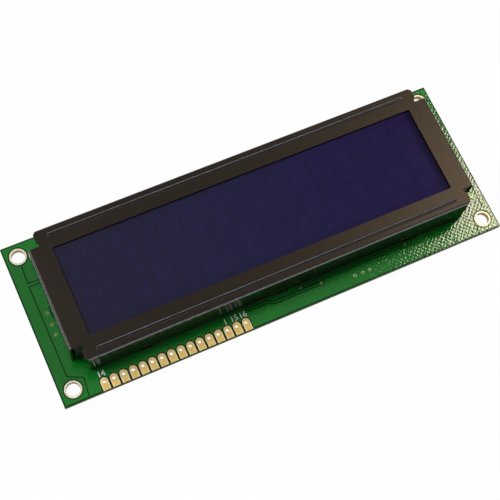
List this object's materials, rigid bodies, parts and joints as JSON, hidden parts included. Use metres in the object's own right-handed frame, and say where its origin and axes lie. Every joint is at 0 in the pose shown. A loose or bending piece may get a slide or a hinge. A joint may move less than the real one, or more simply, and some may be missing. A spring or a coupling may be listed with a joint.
{
  "type": "character lcd module",
  "caption": "Character LCD module: green circuit board with an edge pad row and corner holes, black folded steel bezel over a dark rectangular window.",
  "frame": {"origin": "middle of the board's outline, at the level of the tips of the bezel's tabs", "axes": "+X along the board, +Y from the terminal pad edge to the far edge, +Z out of the window"},
  "size_m": [0.122, 0.044, 0.0136],
  "materials": {
    "laminate": "glass-epoxy laminate under green solder mask, cut edges",
    "masked_copper": "glossy green solder mask over copper",
    "masked_copper_back": "glossy green solder mask over copper",
    "gold_plating": "thin gold on nickel, satin",
    "pad_plating": "thin gold on nickel, satin",
    "hole_plating": "plated copper, bright",
    "via_plating": "plated copper under thin mask",
    "black_steel": "black satin coated sheet steel",
    "front_polarizer": "dark blue-violet polarizing film, satin",
    "cell_glass": "clear float glass",
    "seal_resin": "cured adhesive",
    "plug_resin": "cured resin",
    "rear_polarizer": "polarizing film",
    "strip_rubber": "layered silicone rubber",
    "white_plastic": "white moulded plastic",
    "reflector": "white film",
    "guide_acrylic": "clear acrylic",
    "diffuser": "frosted film",
    "led_board": "white-masked laminate",
    "led_phosphor": "white package with yellow phosphor",
    "tinned_wire": "tinned wire",
    "solder": "bright solder",
    "silicon": "bare silicon",
    "black_resin": "black potting resin, satin",
    "resistor_ceramic": "black glazed resistor body",
    "capacitor_ceramic": "tan ceramic",
    "tin": "tinned end terminal"
  },
  "bodies": {
    "root": {"circuit_board": "laminate", "front_copper": "masked_copper", "back_copper": "masked_copper_back", "contact_fingers": "gold_plating", "terminal_pads": "pad_plating", "mounting_hole_plating": "hole_plating", "lead_hole_plating": "hole_plating", "vias": "via_plating", "bezel": "black_steel", "front_polarizer": "front_polarizer", "front_glass": "cell_glass", "cell_seal": "seal_resin", "seal_plug": "plug_resin", "rear_glass": "cell_glass", "rear_polarizer": "rear_polarizer", "connector_strip_front": "strip_rubber", "connector_strip_rear": "strip_rubber", "backlight_tray": "white_plastic", "reflector_film": "reflector", "light_guide": "guide_acrylic", "diffuser_film": "diffuser", "led_board_left": "led_board", "led_board_right": "led_board", "led_packages": "led_phosphor", "backlight_leads": "tinned_wire", "lead_solder": "solder", "controller_chip": "silicon", "driver_chip": "silicon", "controller_resin": "black_resin", "driver_resin": "black_resin", "chip_resistors": "resistor_ceramic", "chip_capacitors": "capacitor_ceramic", "chip_terminals": "tin", "chip_solder": "solder", "chip_pads": "gold_plating"}
  },
  "joints": []
}
